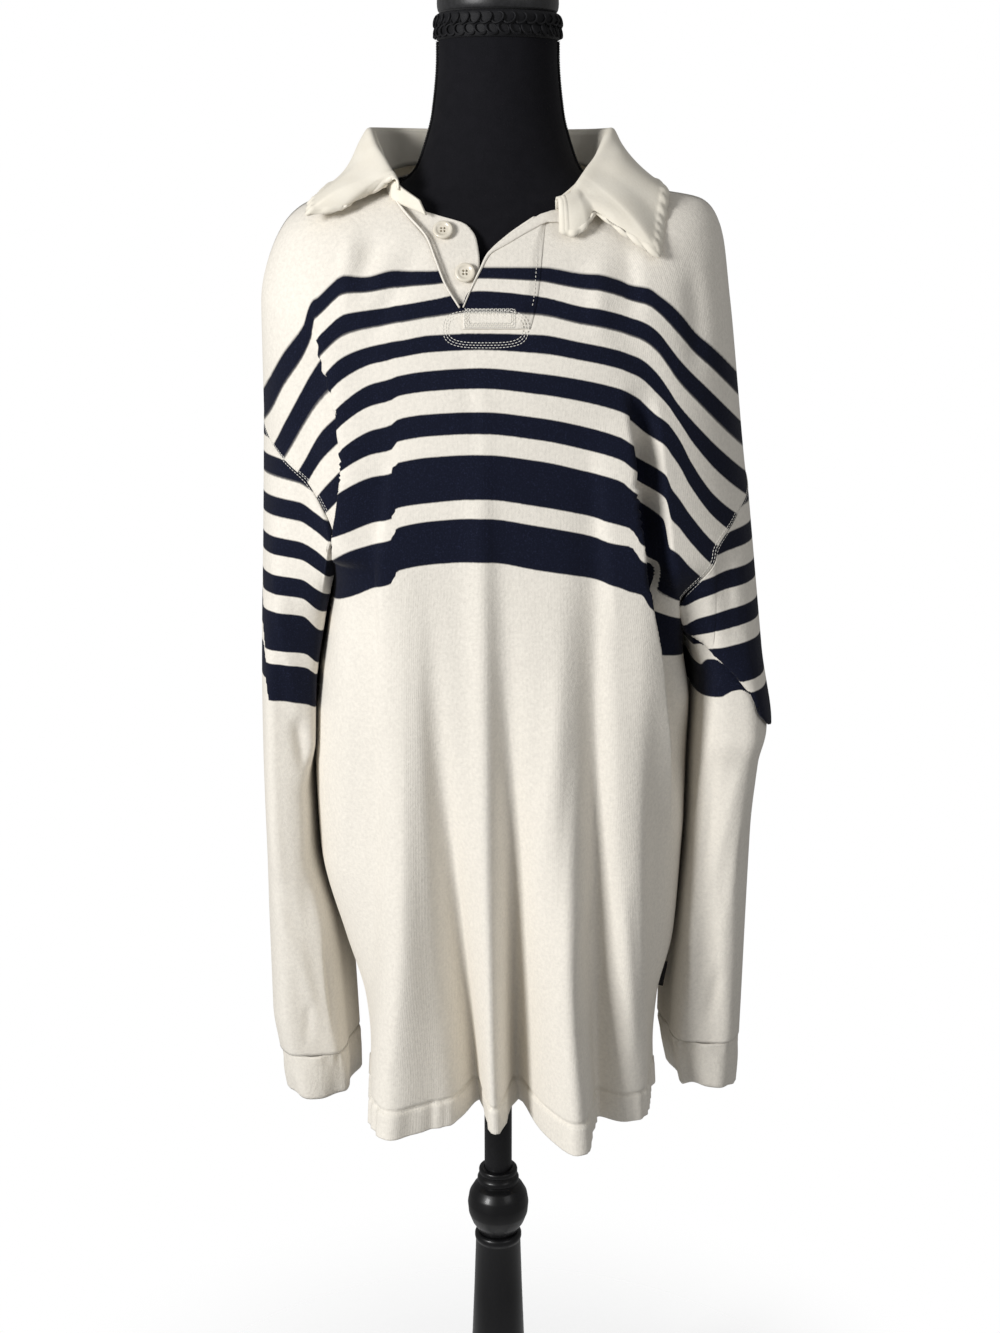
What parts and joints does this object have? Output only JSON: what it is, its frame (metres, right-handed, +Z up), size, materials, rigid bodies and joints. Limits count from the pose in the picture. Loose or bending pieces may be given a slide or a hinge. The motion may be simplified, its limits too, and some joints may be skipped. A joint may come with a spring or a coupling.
{
  "type": "rugby shirt on a dress form with a stand",
  "caption": "Long-sleeved cotton rugby shirt with an open twill collar, hanging on a black limbless dress form that slides on a turned wooden tripod stand.",
  "frame": {"origin": "middle of the footprint, on the floor under the feet", "axes": "+Z up along the pole; -Y is where the form faces; +X is the wearer's left"},
  "size_m": [0.5058, 0.4476, 1.564],
  "materials": {
    "jersey": "cream heavy jersey with navy stripes",
    "cuff": "cream jersey, two plies",
    "twill": "cream cotton twill, brushed by wear",
    "button": "satin cream resin",
    "tape": "plain black woven tape",
    "form_cover": "tight black jersey over a hollow shell",
    "braid": "black braid",
    "lacquer": "black lacquer",
    "tube": "satin black"
  },
  "bodies": {
    "stand": {"column": "lacquer", "knob": "lacquer", "leg_1": "lacquer", "leg_2": "lacquer", "leg_3": "lacquer"},
    "form": {"pole": "tube", "form_torso": "form_cover", "neck_cap": "lacquer", "neck_braid": "braid", "shirt_front": "jersey", "shirt_back": "jersey", "sleeve_right": "jersey", "sleeve_left": "jersey", "cuff_right": "cuff", "cuff_left": "cuff", "collar_stand": "twill", "collar_leaf": "twill", "placket_button_band": "jersey", "placket_top_band": "jersey", "button_upper": "button", "button_lower": "button", "label_side": "tape"}
  },
  "joints": [
    {"name": "height", "type": "slide", "parent": "stand", "child": "form", "axis": [0, 0, 1], "range_m": [-0.1, 0.12]}
  ]
}
